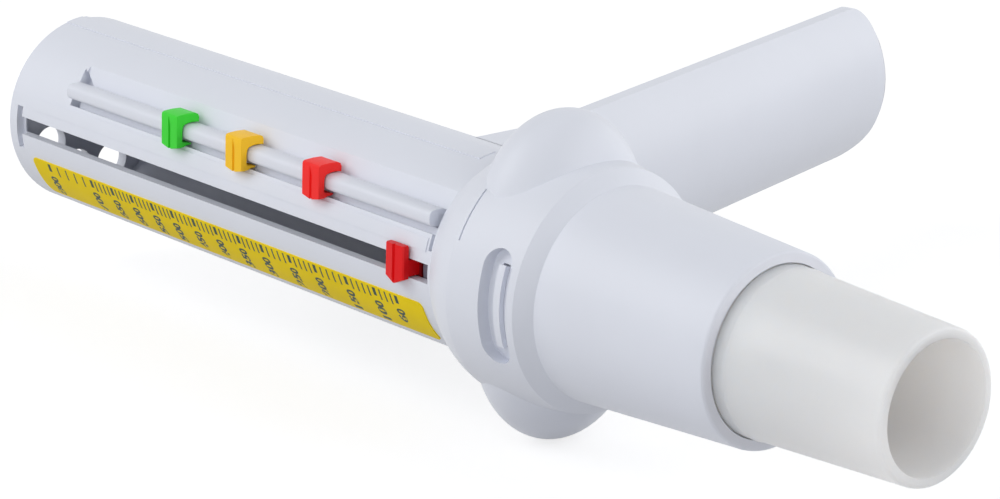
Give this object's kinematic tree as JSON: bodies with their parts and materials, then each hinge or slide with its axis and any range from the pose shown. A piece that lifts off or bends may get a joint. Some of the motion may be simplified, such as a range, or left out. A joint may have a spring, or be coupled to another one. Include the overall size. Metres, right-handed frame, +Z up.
{
  "type": "peak flow meter",
  "caption": "Hand-held peak flow meter: slotted tube with a scale, pointer and zone markers, a domed collar, a fold-out handle and a push-in mouthpiece.",
  "frame": {"origin": "centre of the mouthpiece's open end, on the tube's axis", "axes": "+X out of the mouthpiece along the tube, -Y the front with the scale, +Y the handle's side, +Z up through the domes"},
  "size_m": [0.2268, 0.1682, 0.0592],
  "materials": {
    "body_white": "smooth semi-gloss moulded plastic",
    "mouthpiece_white": "smooth warm white plastic",
    "marker_green": "moulded coloured plastic",
    "marker_orange": "moulded coloured plastic",
    "marker_red": "moulded coloured plastic",
    "pointer_red": "moulded coloured plastic",
    "label_yellow": "printed film",
    "piston_grey": "plain moulded plastic",
    "steel": "drawn stainless steel"
  },
  "bodies": {
    "housing": {"front_shell": "body_white", "rear_shell": "body_white", "tail_cap": "body_white", "collar": "body_white", "port_body": "body_white", "snap_latch": "body_white", "hinge_pin": "steel", "marker_rail": "body_white", "guide_rod": "steel", "rod_spider": "piston_grey", "rod_retainer": "steel", "return_spring": "steel", "scale_label": "label_yellow"},
    "handle": {"handle": "body_white"},
    "piston": {"piston_disc": "piston_grey", "piston_hub": "piston_grey"},
    "pointer": {"pointer": "pointer_red", "pointer_foot": "pointer_red"},
    "clip_green": {"clip_green": "marker_green"},
    "clip_orange": {"clip_orange": "marker_orange"},
    "clip_red": {"clip_red": "marker_red"},
    "mouthpiece": {"mouthpiece": "mouthpiece_white"}
  },
  "joints": [
    {"name": "handle_hinge", "type": "hinge", "parent": "housing", "child": "handle", "pos_m": [-0.1096, 0.022, 0], "axis": [0, 0, 1], "range_deg": [0, 74.5]},
    {"name": "piston_slide", "type": "slide", "parent": "housing", "child": "piston", "axis": [-1, 0, 0], "range_m": [0, 0.1056], "stiffness_N_per_m": 4, "springref_m": -0.03, "deforming": ["return_spring"]},
    {"name": "pointer_slide", "type": "slide", "parent": "housing", "child": "pointer", "axis": [-1, 0, 0], "range_m": [0, 0.1056]},
    {"name": "clip_green_slide", "type": "slide", "parent": "housing", "child": "clip_green", "axis": [-1, 0, 0], "range_m": [-0.0072, 0.032]},
    {"name": "clip_orange_slide", "type": "slide", "parent": "housing", "child": "clip_orange", "axis": [-1, 0, 0], "range_m": [-0.0087, 0.0072]},
    {"name": "clip_red_slide", "type": "slide", "parent": "housing", "child": "clip_red", "axis": [-1, 0, 0], "range_m": [-0.0257, 0.0087]},
    {"name": "mouthpiece_slide", "type": "slide", "parent": "housing", "child": "mouthpiece", "axis": [1, 0, 0], "range_m": [0, 0.03]}
  ],
  "couplings": [
    {"joint": "pointer_slide", "follows": "piston_slide", "ratio": 1}
  ]
}
